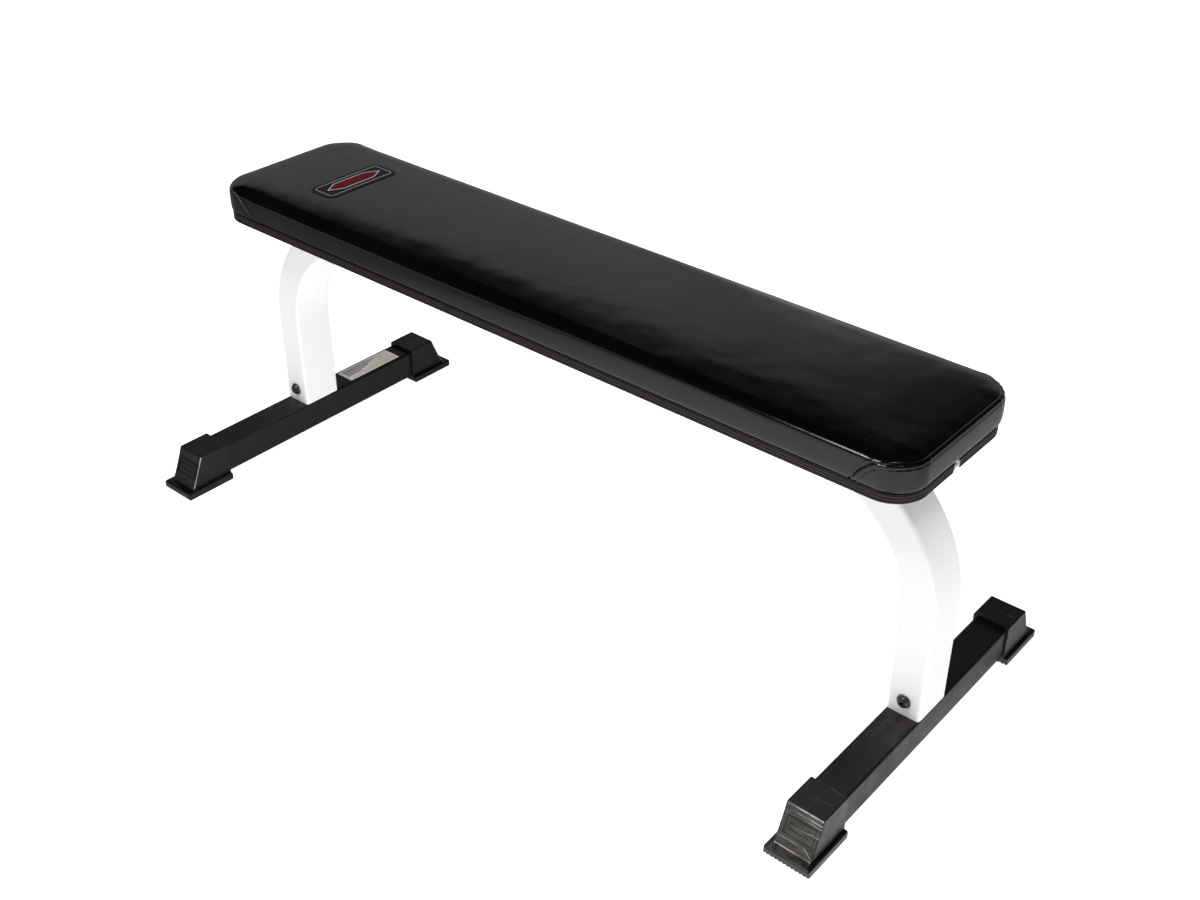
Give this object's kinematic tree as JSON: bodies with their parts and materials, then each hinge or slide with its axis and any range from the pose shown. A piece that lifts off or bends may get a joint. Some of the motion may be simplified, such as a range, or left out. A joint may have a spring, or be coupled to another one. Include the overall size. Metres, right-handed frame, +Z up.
{
  "type": "flat weight bench",
  "caption": "Flat weight bench: a long black upholstered pad on a bent white rectangular-tube frame, with black cross feet in slip-on rubber boots.",
  "frame": {"origin": "on the floor under the middle of the bench", "axes": "+X along the pad towards the front end, where the edge trim's ends meet; +Y across the bench towards the side with the lock nuts and the label; +Z up"},
  "size_m": [1.293, 0.598, 0.4995],
  "materials": {
    "white_powder_coat": "gloss powder coat",
    "black_powder_coat": "satin powder coat",
    "boot_rubber": "moulded, lightly scuffed",
    "black_oxide_steel": "black oxide",
    "zinc_plated_steel": "zinc plated",
    "plywood": "raw plywood",
    "foam": "open-cell foam",
    "black_vinyl": "semi-gloss grained vinyl",
    "dust_cloth": "non-woven cloth",
    "trim_rubber": "satin extruded strip",
    "label_paper": "satin sticker",
    "embroidery": "embroidered",
    "bright_clip": "bright zinc"
  },
  "bodies": {
    "root": {"main_frame": "white_powder_coat", "front_pad_plate": "white_powder_coat", "rear_pad_plate": "white_powder_coat", "plate_weld_beads": "white_powder_coat", "front_foot_tube": "black_powder_coat", "rear_foot_tube": "black_powder_coat", "front_foot_stub": "black_powder_coat", "rear_foot_stub": "black_powder_coat", "front_left_boot": "boot_rubber", "front_right_boot": "boot_rubber", "rear_left_boot": "boot_rubber", "rear_right_boot": "boot_rubber", "front_leg_bolt": "black_oxide_steel", "rear_leg_bolt": "black_oxide_steel", "leg_bolt_washers": "black_oxide_steel", "leg_lock_nuts": "black_oxide_steel", "pad_board": "plywood", "dust_cover": "dust_cloth", "dust_cover_staples": "zinc_plated_steel", "pad_t_nuts": "zinc_plated_steel", "pad_flat_washers": "zinc_plated_steel", "pad_spring_washers": "zinc_plated_steel", "pad_bolts": "zinc_plated_steel", "pad_foam": "foam", "cover_main_panel": "black_vinyl", "cover_front_end_panel": "black_vinyl", "cover_rear_end_panel": "black_vinyl", "edge_trim": "trim_rubber", "trim_joint_clip": "bright_clip", "rating_label": "label_paper", "sewn_patch": "embroidery"}
  },
  "joints": []
}
